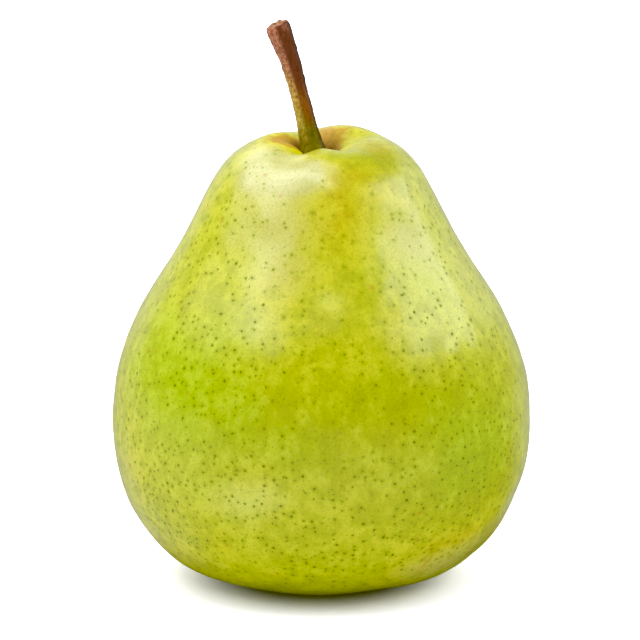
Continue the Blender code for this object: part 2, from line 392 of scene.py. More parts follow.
FRUIT_COLUMNS = 384
FRUIT_ROWS = 232
SOCKET_ROWS = 6
SOCKET_GAP = 0.12 * MM
SOCKET_FLOOR = STEM_LOW[2] - SOCKET_GAP
POLE_GAP = 0.25 * MM
JOIN_START = 4.9 * MM  # where the wall of the cavity starts to close in round the stem
JOIN_REACH = 2.4 * MM  # from the end of the outline to where the skin meets the stem
SOCKET_CAP = 2.3 * MM  # what the floor of the socket adds to the height of the UV map
SKIN_SWELLS = ((17.0, 0.08, 24, 8), (6.0, 0.025, 40, 5))  # wavelength, height, count, seed
SKIN_SWELLS_LEVEL = (0.2 * MM, 4.0 * MM)  # the flats it stands on stay level
SKIN_FOLDS = ((7, 1.0, 0.6), (11, 0.7, 2.1), (17, 0.5, 4.0))  # crests, share of height, phase
BASIN_FOLD = 0.16 * MM  # how high the folds are
BASIN_FOLD_RADIUS = 6.0 * MM
BASIN_FOLD_SPREAD = 3.0 * MM
BASIN_FOLD_LEVEL = (9 * MM, 5 * MM)
CAVITY_FOLD = 0.06 * MM
CAVITY_FOLD_RADIUS = 3.6 * MM
CAVITY_FOLD_SPREAD = 1.6 * MM
CAVITY_FOLD_LEVEL = (74 * MM, 78 * MM)
# Painted shade darkens the skin deep in the cavity and beside the stem, between these places.
CAVITY_DARK_FROM = 130.2 * MM  # along the outline, where the cavity starts to darken
CAVITY_DARK_TO = 134.6 * MM
STEM_DARK_FROM = 2.8 * MM  # from the stem, where the skin beside it starts to darken
STEM_DARK_TO = 0.2 * MM

# Patches of the skin: direction in degrees, place along the outline in mm from the middle of the
# basin, half width and half height in mm, and strength. A strength below zero takes some away.
GREEN_PATCHES = (
    (-132, 73, 13, 13, 0.75),
    (-152, 76, 9, 12, 0.45),
    (-109, 67, 12, 11, 0.45),
    (-46, 62, 14, 11, 0.9),
    (-88, 61, 10, 7, 0.2),
    (-58, 119.5, 5, 3, 0.6),
    (-136, 103, 7, 12, 0.3),
    (-52, 88, 8, 8, 0.2),
    (-40, 101, 9, 10, 0.25),
    (15, 127, 6, 3, 0.2),
    (20, 74, 16, 14, 0.8),
    (88, 66, 18, 12, 0.9),
    (150, 80, 13, 13, 0.7),
)
RIPE_PATCHES = (
    (-66, 116.5, 5, 4, 0.45),
    (42, 129.5, 4, 3, 0.7),
    (-90, 114.5, 4, 3, 0.4),
    (-101, 94, 4, 6, 0.3),
    (-96, 74, 8, 8, 0.2),
    (-106, 57, 6, 4, 0.3),
    (-80, 106, 4, 8, 0.45),
    (-90, 112, 12, 10, 0.12),
    (-35, 122, 5, 3, 0.7),
    (-175, 128, 5, 5, 1.2),
    (-148, 128, 4, 4, 1.2),
    (-79, 84, 10, 10, 0.15),
    (-40, 40, 13, 6, 0.9),
    (-156, 48, 11, 22, 0.1),
    (-100, 112, 26, 9, 0.2),
    (40, 44, 20, 8, 0.5),
    (55, 112, 9, 10, 0.5),
    (120, 100, 14, 12, 0.4),
    (170, 40, 20, 10, 0.4),
)
RUSSET_PATCHES = (
    (74, 130, 5.4, 4.2, 0.85),
    (70, 133, 3.0, 2.4, 0.5),
    (178, 129, 3.6, 3.8, 1.2),
    (-150, 128.5, 3.4, 3.2, 1.25),
    (-18, 122, 5, 3, 0.38),
    (0, 136, 4.2, 1.6, 0.55),
    (0, 0, 9, 4, 0.8),
    (-50, 36, 9, 4, 0.42),
)
BARE_PATCHES = (
    (-95, 118, 14, 9, 0.5),
    (0, 134, 12, 8, 0.6),
    (-85, 68, 13, 13, 0.4),
    (-85, 96, 14, 12, 0.45),
    (-48, 106, 10, 10, 0.3),
    (-125, 48, 16, 12, -0.45),
    (-50, 45, 18, 11, -0.5),
    (160, 90, 20, 16, 0.25),
)
DULL_PATCHES = (
    (0, 137, 9, 7, 1.8),
    (-165, 129, 6, 4, 1.5),
    (0, 0, 11, 6, 1.4),
)
# Pale patches are partly real wax bloom and partly painted highlight where the soft lights reflect.
# The patches below zero are painted shade, which pushes the skin towards its darker mottles.
PALE_WAX_AND_PAINTED_LIGHT_PATCHES = (
    (-120, 50, 13, 9, 0.7),
    (-156, 54, 6, 12, 0.9),
    (-106, 54, 9, 6, 0.4),
    (-86, 56, 8, 4, 0.4),
    (-134, 115, 5, 5, 2.0),
    (-108, 114, 6, 2.8, 2.2),
    (-86, 122.5, 7, 1.4, 0.9),
    (-43, 119.5, 6, 4, -1.2),
    (-130, 119.5, 5, 4, 1.9),
    (-97, 117, 3.5, 3, 1.8),
    (-110, 105, 9, 9, 1.5),
    (-104, 94, 8, 6, 0.9),
    (-134, 103, 6, 6, 0.7),
    (-47, 102, 8, 9, 1.5),
    (-36, 84, 9, 10, 0.5),
    (-84, 69, 11, 8, -0.6),
    (-52, 69, 13, 6, -0.5),
    (-42, 53, 13, 9, -1.2),
    (-134, 44, 11, 5, -0.6),
    (-66, 116, 6, 5, -0.5),
    (-46, 35.5, 13, 5.5, 1.6),
    (-28, 43, 8, 7, 1.3),
    (-138, 36, 12, 5.5, 0.9),
    (30, 58, 18, 12, 0.6),
    (75, 104, 15, 13, 0.7),
    (130, 52, 18, 14, 0.7),
    (-178, 100, 12, 14, 0.5),
)
SKIN_LAYERS = {
    "greenness": GREEN_PATCHES,
    "ripeness": RIPE_PATCHES,
    "russet": RUSSET_PATCHES,
    "bareness": BARE_PATCHES,
    "paleness_and_painted_light": PALE_WAX_AND_PAINTED_LIGHT_PATCHES,
    "dullness": DULL_PATCHES,
}


def outline_at(place):
    """Radius, height and outward direction (radial, upward) of the outline at places along it.

    The outward direction is the outline's own direction turned a quarter turn to the right.
    """
    line, along = whole_outline()
    ahead = np.gradient(line, along, axis=0)
    columns = (line[:, 0], line[:, 1], ahead[:, 1], -ahead[:, 0])
    return [np.interp(place, along, column) for column in columns]


def turned(radius, height, angle):
    """Points at a distance from the axis, at a height, in a direction in radians."""
    height = np.broadcast_to(height, np.broadcast(radius, angle).shape)
    return np.stack([radius * np.cos(angle), radius * np.sin(angle), height], axis=-1)


def patches(points, spots):
    """How far each point lies in soft round patches, as the sum of their Gaussian humps."""
    total = np.zeros(points.shape[:-1])
    for direction, place, width, height, strength in spots:
        radius, level, _, _ = outline_at(place * MM)
        centre = turned(radius, level, math.radians(direction))
        away = (points - centre) / (np.array([width, width, height]) * MM)
        total += strength * np.exp(-(away**2).sum(axis=-1))
    return total


def skin_relief(points, radius, angle, height):
    """How far the skin stands out from its even shape, in metres.

    Low swells and small dimples all over, and folds that run out from the basin and the stem.
    """
    swells = ripples(points, SKIN_SWELLS) * fade(points[..., 2], *SKIN_SWELLS_LEVEL)
    in_basin = bell(radius, BASIN_FOLD_RADIUS, BASIN_FOLD_SPREAD) * fade(height, *BASIN_FOLD_LEVEL)
    in_cavity = bell(radius, CAVITY_FOLD_RADIUS, CAVITY_FOLD_SPREAD)
    in_cavity *= fade(height, *CAVITY_FOLD_LEVEL)
    folds = corrugated(angle, SKIN_FOLDS) * (BASIN_FOLD * in_basin + CAVITY_FOLD * in_cavity)
    return swells + folds


def fruit_surface():
    """The fruit's rows of points from its basin to the floor of its socket, and their places.

    The outline is turned about the axis, given its relief, moved to where it grew and centred. Its
    last rows close in round the stem, and the socket follows the stem's middle line down.
    """
    line, along = whole_outline()
    rim = stem_middle(outline_at(along[-1] - JOIN_REACH)[1])[2] / 2 + SOCKET_GAP
    inside = along > along[np.argmax(line[:, 1])]
    end = np.interp(-rim, -line[inside, 0], along[inside])
    place = np.linspace(POLE_GAP, end, FRUIT_ROWS)
    angle = round_turn(FRUIT_COLUMNS)[None, :]
    radius, height, out, up = (column[:, None] for column in outline_at(place))
    points = turned(radius, height, angle)
    relief = skin_relief(points, radius, angle, height)
    points = grown(points + relief[..., None] * turned(out, up, angle))
    middle = (points.min(axis=(0, 1)) + points.max(axis=(0, 1))) / 2
    points[..., :2] += (FRUIT_MIDDLE - middle)[:2]

    x, y, _ = np.moveaxis(stem_middle(height), -1, 0)
    round_stem = turned(radius, height, angle) + np.stack([x, y, np.zeros_like(x)], axis=-1)
    closing = (fade(radius, JOIN_START, rim) * (height > FRUIT_MIDDLE[2]))[..., None]
    points = points * (1.0 - closing) + round_stem * closing

    depth = np.linspace(height[-1, 0], SOCKET_FLOOR, SOCKET_ROWS + 1)[1:, None]
    x, y, thick = np.moveaxis(stem_middle(depth), -1, 0)
    socket = turned(thick / 2 + SOCKET_GAP, depth, angle)
    socket += np.stack([x, y, np.zeros_like(x)], axis=-1)
    places = np.concatenate([place, end + height[-1, 0] - depth[:, 0]])
    return np.concatenate([points, socket]), places


def skin_uv(places, columns):
    """A place on the UV map for each face corner: its share of the way round and of the way up.

    The faces come in the order in which the skin has them: row by row, then the triangles that
    close the basin and those that close the socket, whose middle corner is half way along.
    """
    top = places[-1] + SOCKET_CAP
    up = np.concatenate([[0.0], places, [top]]) / top
    column = np.arange(columns)[:, None]
    row = np.arange(len(places) - 1)[:, None, None]
    parts = (
        (column + (0, 1, 1, 0), up[row + (1, 1, 2, 2)]),
        (column + (1, 0, 0.5), up[[1, 1, 0]]),
        (column + (0, 1, 0.5), up[[-2, -2, -1]]),
    )
    pairs = (np.broadcast_arrays(across / columns, rise) for across, rise in parts)
    return np.concatenate([np.stack(pair, axis=-1).reshape(-1, 2) for pair in pairs])


def make_fruit():
    """The fruit as one closed skin, with the layers that its material reads."""
    surface, places = fruit_surface()
    points, quads, triangles = closed_tubes(surface[None])
    piece = add_mesh("pear_skin", points, quads, triangles)
    columns = surface.shape[1]
    add_uv(piece.data, skin_uv(places, columns))
    for name, spots in SKIN_LAYERS.items():
        add_layer(piece.data, name, patches(points, spots))
    # Painted shade: a layer that darkens the skin close to the stem and deep in the cavity.
    x, y, thick = np.moveaxis(stem_middle(points[:, 2]), -1, 0)
    gap = np.hypot(points[:, 0] - x, points[:, 1] - y) - thick / 2
    painted_shade_by_stem = fade(gap, STEM_DARK_FROM, STEM_DARK_TO) * (points[:, 2] > FRUIT_MIDDLE[2])
    depth = np.repeat(fade(places, CAVITY_DARK_FROM, CAVITY_DARK_TO), columns)
    add_layer(piece.data, "painted_crevice_shade", np.maximum(painted_shade_by_stem, np.concatenate([depth, [0.0, 1.0]])))
    return piece


# ---- The stem ------------------------------------------------------------------------------------

STEM_ROWS = 170
STEM_SIDES = 60
STEM_END_ROWS = 12
STEM_SHARE = 0.970  # how much of its middle line it follows before its end rounds over
STEM_END_ROUNDING = 1.05 * MM
STEM_END_CLOSING = 0.93  # how much the end is drawn in before it is capped
STEM_CUT_SLOPE = 0.10  # how far the broken end falls away to the left and the front
STEM_CUT_FROM = 0.955  # the share of the rise at which it starts to fall away
STEM_FOOT = 0.28 * MM  # how far the foot spreads
STEM_FOOT_RISE = 0.155
STEM_FOOT_REACH = 0.05
STEM_KNOB = 0.10 * MM
STEM_KNOB_REACH = 0.06
STEM_RIBS = ((5, 0.030, 2.0, 0.4), (8, 0.022, -3.0, 1.9), (13, 0.015, 5.0, 0.0))
STEM_KNOTS = ((2.4, 0.045, 30, 11), (0.9, 0.018, 40, 12))  # wavelength, height, count, seed
STEM_KNOTS_FROM = 0.1
STEM_TEARS = ((1.5, 0.20, 30, 13), (0.6, 0.08, 40, 14))
STEM_TORN_IN = 0.3 * MM  # how far the broken face lies below its rim


def stem_shares():
    """For each ring, its share of the way up the stem and of the way in across the broken end."""
    end = np.linspace(0.0, 1.0, STEM_END_ROWS + 1)[1:]
    rise = np.concatenate([np.linspace(0.0, 1.0, STEM_ROWS), np.ones(STEM_END_ROWS)])
    return rise, np.concatenate([np.zeros(STEM_ROWS), end])


def stem_surface():
    """The stem's rings of points from its root to the middle of its broken end.

    Each ring's radius is half the thickness of the middle line there, with ribs that run along
    the stem, low knots, and a foot that spreads where it leaves the fruit. The end rounds over and
    is drawn in to its middle, on a slope, with a torn, uneven face.
    """
    line = np.array(STEM_LINE_MM) * MM
    fine = natural_spline(line, np.linspace(0.0, 1.0, STEM_SAMPLES))
    path = natural_spline(line, even_places(fine[:, :3], STEM_ROWS) * STEM_SHARE)
    ring = np.minimum(np.arange(STEM_ROWS + STEM_END_ROWS), STEM_ROWS - 1)
    ways = ways_along(path[:, :3], (0.0, 1.0, 0.0))
    path, ahead, side, other = (part[ring] for part in (path, *ways))

    rise, inwards = (share[:, None] for share in stem_shares())
    over = np.sqrt(1.0 - (1.0 - np.minimum(inwards / 0.5, 1.0)) ** 2)
    middle = path[:, :3] + ahead * STEM_END_ROUNDING * over
    closing = 1.0 - STEM_END_CLOSING * inwards
    turn = round_turn(STEM_SIDES)[None, :]
    ribs = MM * (0.5 + 0.8 * rise) * sum(
        height * np.cos(crests * turn + twist * rise + phase)
        for crests, height, twist, phase in STEM_RIBS
    )
    foot = bell(rise, STEM_FOOT_RISE, STEM_FOOT_REACH) * (1.0 + 0.4 * np.cos(turn - 2.6))
    knob = bell(rise, 1.0, STEM_KNOB_REACH) * np.cos(2 * turn + 0.7)
    radius = (path[:, 3:] / 2 + ribs + STEM_FOOT * foot + STEM_KNOB * knob) * closing
    points = carried(middle, side, other, radius * np.cos(turn), radius * np.sin(turn))
    knots = ripples(points, STEM_KNOTS) * closing * (rise > STEM_KNOTS_FROM)
    points += unit(points - middle[:, None, :]) * knots[..., None]

    falling = STEM_CUT_SLOPE * (1.0 + np.cos(turn) * 0.35 + np.sin(turn) * 0.94) * radius
    torn = (ripples(points, STEM_TEARS) - STEM_TORN_IN) * fade(1.0 - closing, 0.1, 0.5)
    along = torn - falling * fade(rise, STEM_CUT_FROM, 1.0)
    return points + ahead[:, None, :] * along[..., None]


def make_stem():
    """The stem as one closed tube, with layers for its height and the side that each point is on."""
    rings = stem_surface()
    points, quads, triangles = closed_tubes(rings[None])
    piece = add_mesh("pear_stem", points, quads, triangles)
    rows, sides, _ = rings.shape
    turn = round_turn(sides)
    for name, values in zip(("rise", "torn"), stem_shares()):
        add_layer(piece.data, name, np.concatenate([np.repeat(values, sides), [0.0, 1.0]]))
    for name, values in (("left", np.cos(turn)), ("front", np.sin(turn))):
        add_layer(piece.data, name, np.concatenate([np.tile(values, rows), [0.0, 0.0]]))
    return piece


# ---- The dried calyx -----------------------------------------------------------------------------

SEPALS = 5
SEPAL_FIRST_DIRECTION = -70.0
SEPAL_ROWS = 34
SEPAL_SIDES = 36
SEPAL_ROOT_RADIUS = 2.9 * MM
SEPAL_ROOT_HEIGHT = 5.6 * MM
SEPAL_LENGTH = 6.2 * MM
SEPAL_ROOT_WIDTH = 2.3 * MM
SEPAL_SWELL = 4.6 * MM
SEPAL_THICKNESS = 0.34 * MM
SEPAL_DROOP = 3.1 * MM  # how far down its tip is
SEPAL_HANG = 0.55 * MM  # how far down its sides are
SEPAL_VEIN = 0.16 * MM
SEPAL_CREASE = 0.10 * MM
SEPAL_FRILL = 0.16 * MM
FILAMENTS = 18
FILAMENT_ROWS = 12
FILAMENT_SIDES = 8
FILAMENT_ROOT_HEIGHT = 5.7 * MM
FILAMENT_RADIUS = 0.17 * MM
FILAMENT_TAPER = 0.06 * MM
FILAMENT_KNOB = 0.17 * MM  # what the knob adds to its radius
DISC_ROWS = 72
DISC_SIDES = 18
DISC_RADIUS = 1.95 * MM
DISC_HEIGHT = 5.75 * MM
DISC_HALF_WIDTH = 0.62 * MM
DISC_HALF_DEPTH = 0.36 * MM
DISC_PUCKERS = ((9, 0.12 * MM, 0.5), (14, 0.07 * MM, 2.2))


def sepal_surface(number):
    """The rings of points of one dried sepal, from its root to its tip.

    Each ring is a flat oval, as wide as the sepal is there, and its middle line goes out and
    curls down. The sides hang, the middle vein stands up, and the sheet is wrinkled across. Each
    sepal has a length, a bend to one side and wrinkles of its own.
    """
    random = np.random.default_rng(40 + number)
    length, bend, twist = random.uniform((0.9, -0.9, -0.5), (1.08, 0.9, 0.5))
    along = np.linspace(0.0, 1.0, SEPAL_ROWS)[:, None]
    turn = round_turn(SEPAL_SIDES)[None, :]
    across = np.cos(turn)
    half_width = (SEPAL_ROOT_WIDTH + SEPAL_SWELL * along) * (1.0 - 0.985 * along) ** 0.75 / 2
    reach = SEPAL_LENGTH * length * along * (1.0 - 0.14 * along)
    droop = SEPAL_DROOP * along**1.35
    hang = SEPAL_HANG * across**2 * (1.0 - along) * (0.4 + along)
    vein = SEPAL_VEIN * bell(across, 0.0, 0.16) * (1.0 - along)
    crease = SEPAL_CREASE * np.sin(7.0 * across + random.uniform(0, TURN)) * np.sin(math.pi * along)
    frill = SEPAL_FRILL * across**2 * np.sin(15.0 * along + 2.0 * across + random.uniform(0, TURN))
    thick = SEPAL_THICKNESS / 2 * np.sin(turn) * (1.0 - 0.55 * along)
    lift = vein - hang + crease + frill * (1.0 - along) + thick
    lift += twist * across * half_width * along
    aside = across * half_width + bend * MM * along**2
    slope = np.gradient(droop[:, 0], reach[:, 0])[:, None]
    steep = np.hypot(1.0, slope)
    outwards = SEPAL_ROOT_RADIUS + reach + lift * slope / steep
    height = SEPAL_ROOT_HEIGHT - droop + lift / steep
    direction = math.radians(SEPAL_FIRST_DIRECTION + 360.0 / SEPALS * (number - 1))
    x = outwards * math.cos(direction) - aside * math.sin(direction)
    y = outwards * math.sin(direction) + aside * math.cos(direction)
    return np.stack([x, y, height], axis=-1), np.broadcast_to(along, x.shape)


def make_sepal(number):
    """One dried sepal as a closed sheet, with a layer for how near its tip each point is."""
    rings, along = sepal_surface(number)
    points, quads, triangles = closed_tubes(rings[None])
    piece = add_mesh(f"dried_sepal_{number}", points, quads, triangles)
    add_layer(piece.data, "along", np.concatenate([along.reshape(-1), [0.0, 1.0]]))
    return piece


def disc_surface():
    """The ring that the stamens stand on: a flat oval section carried round the axis, puckered."""
    round_axis = round_turn(DISC_ROWS)[:, None]
    turn = round_turn(DISC_SIDES)[None, :]
    pucker = corrugated(round_axis, DISC_PUCKERS)
    radius = DISC_RADIUS + (DISC_HALF_WIDTH + 0.5 * pucker) * np.cos(turn)
    height = DISC_HEIGHT + 0.6 * pucker - (DISC_HALF_DEPTH + 0.3 * pucker) * np.sin(turn)
    return turned(radius, height, round_axis)


def filament_surfaces():
    """The withered stamens: a thin tube for each, as (stamen, ring, place in the ring) points.

    Each middle line leaves the ring downwards, leans its own way and curls at its end, where the
    tube swells to a small shrunken knob.
    """
    random = np.random.default_rng(71)
    shape = (FILAMENTS, 1)
    direction = TURN * (np.arange(FILAMENTS)[:, None] + random.uniform(-0.3, 0.3, shape)) / FILAMENTS
    start = MM * random.uniform(1.65, 2.3, shape)
    length = MM * random.uniform(1.5, 2.7, shape)
    splay = MM * random.uniform(-0.6, 1.1, shape)
    sway = random.uniform(-0.5, 0.5, shape)
    along = np.linspace(0.0, 1.0, FILAMENT_ROWS)[None, :]
    middle = turned(
        start + splay * along**1.5,
        FILAMENT_ROOT_HEIGHT - length * along * (1.0 - 0.12 * along),
        direction + sway * along**2,
    )
    _, side, other = ways_along(middle, turned(1.0, 0.0, direction))
    knob = FILAMENT_KNOB * bell(along, 0.88, 0.10)
    radius = FILAMENT_RADIUS - FILAMENT_TAPER * along + knob
    radius *= 1.0 - 0.6 * fade(along, 0.93, 1.0)
    turn = round_turn(FILAMENT_SIDES)
    wide = radius[..., None] * np.cos(turn)
    deep = radius[..., None] * np.sin(turn) * 0.75
    return carried(middle, side, other, wide, deep)


def make_stamens():
    """The ring and its withered stamens as one piece."""
    disc = disc_surface()
    rows, columns, _ = disc.shape
    across, beside = np.meshgrid(np.arange(rows), np.arange(columns), indexing="ij")
    ahead, next_to = (across + 1) % rows, (beside + 1) % columns
    corners = [across * columns + beside, ahead * columns + beside]
    corners += [ahead * columns + next_to, across * columns + next_to]
    disc_quads = np.stack(corners, axis=-1).reshape(-1, 4)
    points, quads, triangles = closed_tubes(filament_surfaces())
    whole = np.concatenate([disc.reshape(-1, 3), points])
    quads = np.concatenate([disc_quads, quads + rows * columns])
    return add_mesh("withered_stamens", whole, quads, triangles + rows * columns)


# ---- Finishes ------------------------------------------------------------------------------------


class Value:
    """What comes out of a node. A sum written with it adds the node that works it out."""

    def __init__(self, nodes, socket):
        self.nodes = nodes
        self.socket = socket

    def __add__(self, other):
        return self.nodes.maths("ADD", self, other)

    def __sub__(self, other):
        return self.nodes.maths("SUBTRACT", self, other)

    def __rsub__(self, other):
        return self.nodes.maths("SUBTRACT", other, self)

    def __mul__(self, other):
        return self.nodes.maths("MULTIPLY", self, other)

    def __truediv__(self, other):
        return self.nodes.maths("DIVIDE", self, other)

    def __lt__(self, other):
        return self.nodes.maths("LESS_THAN", self, other)


class Nodes:
    """A node tree in the making: each method adds a node and gives what comes out of it."""

    def __init__(self, tree, coordinates="Object"):
        self.tree = tree
        self.place = self.made("ShaderNodeTexCoord", result=coordinates)

    def put(self, socket, value):
        """Links a socket to a node's result, or sets its value, with a colour as three numbers."""
        if isinstance(value, Value):
            self.tree.links.new(value.socket, socket)
        elif socket.type == "RGBA":
            socket.default_value = (*value, 1.0)
        else:
            socket.default_value = value

    def node(self, kind, inputs=(), **settings):
        """A new node with these settings, and with pairs of a socket's name or number and value."""
        made = self.tree.nodes.new(kind)
        for name, value in settings.items():
            setattr(made, name, value)
        for name, value in dict(inputs).items():
            self.put(made.inputs[name], value)
        return made

    def made(self, kind, inputs=(), result=0, **settings):
        """One result of a new node."""
        return Value(self, self.node(kind, inputs, **settings).outputs[result])

    def maths(self, operation, *values):
        """The result of a Math node."""
        return self.made("ShaderNodeMath", enumerate(values), operation=operation)

    def vector(self, operation, *values, **inputs):
        """The result of a Vector Math node. The named inputs go with the numbered ones."""
        inputs = {**dict(enumerate(values)), **inputs}
        result = "Value" if operation in ("DOT_PRODUCT", "LENGTH") else "Vector"
        return self.made("ShaderNodeVectorMath", inputs, result, operation=operation)

    def layer(self, name):
        """A layer of numbers kept with the mesh."""
        return self.made("ShaderNodeAttribute", result="Fac", attribute_name=name)

    def scaled_place(self, size, shift=0.0, stretch=(1.0, 1.0, 1.0)):
        """Object coordinates in units of a size, moved by a shift so that two patterns differ."""
        scale = [part / size for part in stretch]
        location = (shift, shift * 0.7, shift * 1.3)
        inputs = {"Vector": self.place, "Location": location, "Scale": scale}
        return self.made("ShaderNodeMapping", inputs)

    def noise(self, size, detail=2.0, shift=0.0, stretch=(1.0, 1.0, 1.0), roughness=0.5):
        """Smooth noise from 0 to 1, about 0.5, with features of about this size in metres."""
        place = self.scaled_place(size, shift, stretch)
        inputs = {"Vector": place, "Scale": 1.0, "Detail": detail, "Roughness": roughness}
        return self.made("ShaderNodeTexNoise", inputs, "Fac")

    def step(self, value, low, high, to_low=0.0, to_high=1.0):
        """A smooth step: to_low where the value is at low, to_high where it is at high."""
        inputs = enumerate((value, low, high, to_low, to_high))
        return self.made("ShaderNodeMapRange", inputs, interpolation_type="SMOOTHSTEP")

    def mixed(self, share, first, second, blend="MIX"):
        """One colour where the share is 0, the other where it is 1."""
        inputs = {"Factor": share, 6: first, 7: second}
        return self.made("ShaderNodeMix", inputs, 2, data_type="RGBA", blend_type=blend)

    def one_of(self, share, first, second):
        """One shader where the share is 0, the other where it is 1."""
        return self.made("ShaderNodeMixShader", enumerate((share, first, second)))

    def light(self, kind, colour, strength=1.0):
        """Plain light, from a Background or an Emission node."""
        return self.made(kind, {"Color": colour, "Strength": strength})

    def spots(self, spacing, shift):
        """Points scattered evenly through space, seen on the surface.

        Gives how far the nearest one is, measured along the surface, and three numbers from 0 to 1
        that belong to it. The part of the distance along the normal is taken off, so that a point
        just under or over the surface still gives a round spot.
        """
        here = self.scaled_place(spacing, shift)
        inputs = {"Vector": here, "Scale": 1.0, "Randomness": 0.9}
        cells = self.node("ShaderNodeTexVoronoi", inputs)
        centre, colour = (Value(self, cells.outputs[name]) for name in ("Position", "Color"))
        normal = self.made("ShaderNodeNewGeometry", result="Normal")
        towards = self.vector("SUBTRACT", centre, here)
        depth = self.vector("DOT_PRODUCT", towards, normal)
        across = self.vector("SUBTRACT", towards, self.vector("SCALE", normal, Scale=depth))
        parts = self.node("ShaderNodeSeparateColor", {"Color": colour})
        numbers = [Value(self, socket) for socket in parts.outputs]
        return self.vector("LENGTH", across) * spacing, numbers

    def bumped(self, height, depth, under=None):
        """The normal that a height from 0 to 1 gives, when 1 stands this many metres high."""
        inputs = {"Strength": 1.0, "Distance": depth, "Height": height}
        if under is not None:
            inputs["Normal"] = under
        return self.made("ShaderNodeBump", inputs)


class Finish(Nodes):
    """A material in the making."""

    def __init__(self, name):
        self.material = bpy.data.materials.new(name)
        self.material.use_nodes = True
        super().__init__(self.material.node_tree)
        self.shader = self.tree.nodes["Principled BSDF"]

    def done(self, colour, roughness, **values):
        """Feeds the shader and gives the material. The named values go into the named sockets."""
        values = {"Base_Color": colour, "Roughness": roughness, **values}
        for name, value in values.items():
            self.put(self.shader.inputs[name.replace("_", " ")], value)
        return self.material


FINE_DOT_SPACING = 0.62  # as a share of the lenticels' spacing
FINE_DOT_SHARE = 0.24  # how many of their places have one
SPECK_SPACING = 9 * MM
SPECK_SHARE = 0.17


def lenticels(skin, look, presence, grain):
    """Corky points with ragged rims, each in a soft halo: how much of either lies at a place."""
    distance, (chance, size, shade) = skin.spots(look.dot_spacing, 5.0)
    there = chance < presence * look.dot_share
    ragged = distance + grain * (look.dot_size * 0.6) - look.dot_size * 0.3
    apart = ragged / (size * (look.dot_size * 0.30) + look.dot_size * 0.32)
    halo = skin.step(apart, 4.2, 0.8) * there
    point = skin.step(apart, 1.35, 0.60) * there * (shade * 0.40 + 0.60)
    return halo, point * skin.step(presence, 0.3, 1.1, 0.38, 1.0)


def russet(skin, look, mottle):
    """Netted rust-brown cork: how much of it lies at a place, and its colour."""
    netting = skin.noise(1.1 * MM, 3.0, 7.0, roughness=0.7)
    rust = skin.layer("russet") * 1.25 + netting * 0.9 + mottle * 1.3 - 1.72
    brown = skin.step(skin.layer("ripeness"), 0.2, 0.6)
    brown = skin.mixed(brown, look.russet, look.russet_gold)
    brown = skin.mixed(skin.step(netting, 0.35, 0.65), look.russet_dark, brown)
    return skin.step(rust, -0.20, 0.40), brown


def skin_finish(look):
    """Waxy pear skin: broken patches of green, yellow-green and gold, mottled, with lenticels.

    A finer layer of points, a few brown specks and netted russet lie over the colour, wax and
    painted highlight make parts of it pale, painted shade darkens other parts and the skin by the
    stem and deep in the cavity, and small dimples break up the gloss, which the corky parts lack.
    """
    skin = Finish("pear_skin")
    broad, blotch = skin.noise(16 * MM, 2.0, 1.0), skin.noise(6 * MM, 2.0, 2.0)
    mottle = skin.noise(2.4 * MM, 4.0, 3.0, (1.0, 1.0, 0.75), 0.65)
    grain, fine = skin.noise(0.6 * MM, 2.0, 4.0), skin.noise(0.42 * MM, 1.0, 14.0)
    presence, paleness_and_painted_light = 1.0 - skin.layer("bareness"), skin.layer("paleness_and_painted_light")
    halo, point = lenticels(skin, look, presence, grain)

    tone = broad * 0.35 + blotch * 0.15 + 0.12
    tone = tone + skin.layer("ripeness") * 0.50 - skin.layer("greenness") * 0.38
    rich = skin.mixed(skin.step(tone, -0.15, 0.35), look.green, look.middle)
    rich = skin.mixed(skin.step(tone, 0.35, 0.85), rich, look.gold)
    pale = skin.mixed(skin.step(tone, 0.0, 0.6), look.pale_green, look.pale_gold)
    # The pale layer is partly wax and partly painted light: it pales the skin where highlights are
    # painted and darkens it where shade is painted.
    cover = mottle * 0.9 + blotch * 0.4 + halo * 0.14 - paleness_and_painted_light * 0.14 - 0.67
    colour = skin.mixed(skin.step(cover, -0.18, 0.06), pale, rich)
    colour = skin.mixed(skin.step(cover, -0.02, 0.30), colour, look.deep, "MULTIPLY")
    # Wax bloom and painted highlight: the pale layer turns the skin whitish.
    colour = skin.mixed(skin.step(paleness_and_painted_light - mottle * 0.8, 0.0, 1.9), colour, look.bloom_and_painted_highlight)
    colour = skin.mixed(skin.step(fine, 0.42, 0.66), colour, look.grain, "MULTIPLY")
    colour = skin.mixed(halo * 0.32, colour, look.halo)
    colour = skin.mixed(point, colour, look.dot)

    distance, (chance, *_) = skin.spots(look.dot_spacing * FINE_DOT_SPACING, 9.0)
    small = skin.step(distance, look.dot_size * 0.46, look.dot_size * 0.16)
    colour = skin.mixed(small * (chance < presence * FINE_DOT_SHARE) * 0.5, colour, look.dot)
    distance, (chance, *_) = skin.spots(SPECK_SPACING, 13.0)
    speck = skin.step(distance + mottle * (2.0 * MM), 1.75 * MM, 1.0 * MM)
    speck = speck * (chance < SPECK_SHARE)
    colour = skin.mixed(speck * 0.75, colour, look.speck)
    rust, brown = russet(skin, look, mottle)
    colour = skin.mixed(rust * 0.9, colour, brown)
    # Painted shade darkens the skin next to the stem and deep in the cavity.
    colour = skin.mixed(skin.layer("painted_crevice_shade"), colour, look.painted_crevice_shade, "MULTIPLY")

    normal = skin.bumped(skin.noise(1.6 * MM, 2.0, 10.0), look.dimple_depth)
    normal = skin.bumped(skin.noise(0.5 * MM, 1.0, 11.0), look.dimple_depth * 0.10, normal)
    dull = skin.step(skin.layer("dullness") + point * 3.4 + rust * 0.6, 0.1, 1.2)
    return skin.done(
        colour,
        grain * 0.10 + rust * 0.2 + (look.roughness - 0.05),
        Normal=normal,
        Specular_IOR_Level=0.22,
        Coat_Weight=1.0 - dull * 0.97,
        Coat_Roughness=0.24,
        Coat_IOR=1.57,
    )


